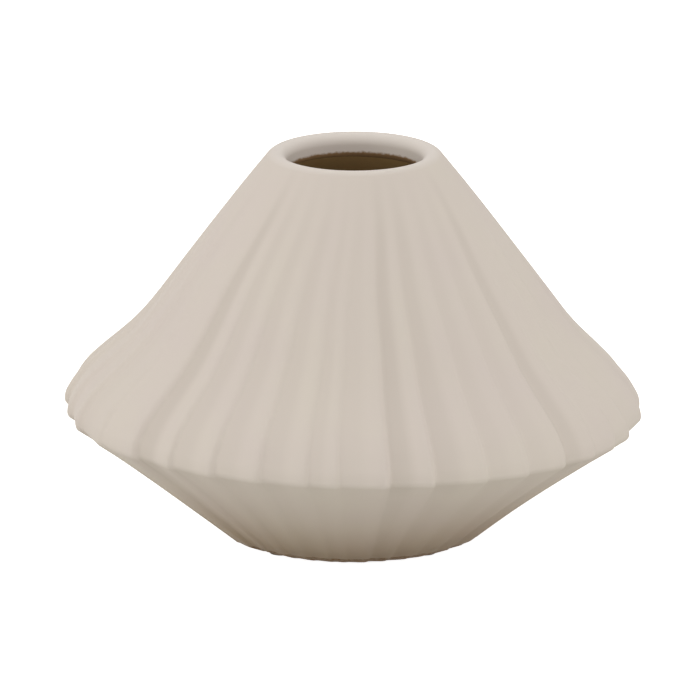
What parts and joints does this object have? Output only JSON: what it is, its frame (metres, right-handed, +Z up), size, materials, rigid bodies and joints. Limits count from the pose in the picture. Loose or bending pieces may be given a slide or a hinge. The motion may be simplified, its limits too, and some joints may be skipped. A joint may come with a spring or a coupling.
{
  "type": "flower vase",
  "caption": "Wide, low fluted stoneware vase with a narrow round mouth, to hold water and a spread of stems.",
  "frame": {"origin": "centre of the underside, at the level of the surface that the felt pads stand on", "axes": "+Z up along the vase's axis, -Y towards the viewer of the picture, +X to their right"},
  "size_m": [0.2208, 0.221, 0.1509],
  "materials": {
    "stoneware_upper": "matt engobe",
    "stoneware_lower": "matt engobe",
    "glaze": "satin glaze",
    "felt": "needled felt"
  },
  "bodies": {
    "root": {"upper_half": "stoneware_upper", "lower_half": "stoneware_lower", "glaze_lining": "glaze", "foot_pads": "felt"}
  },
  "joints": []
}
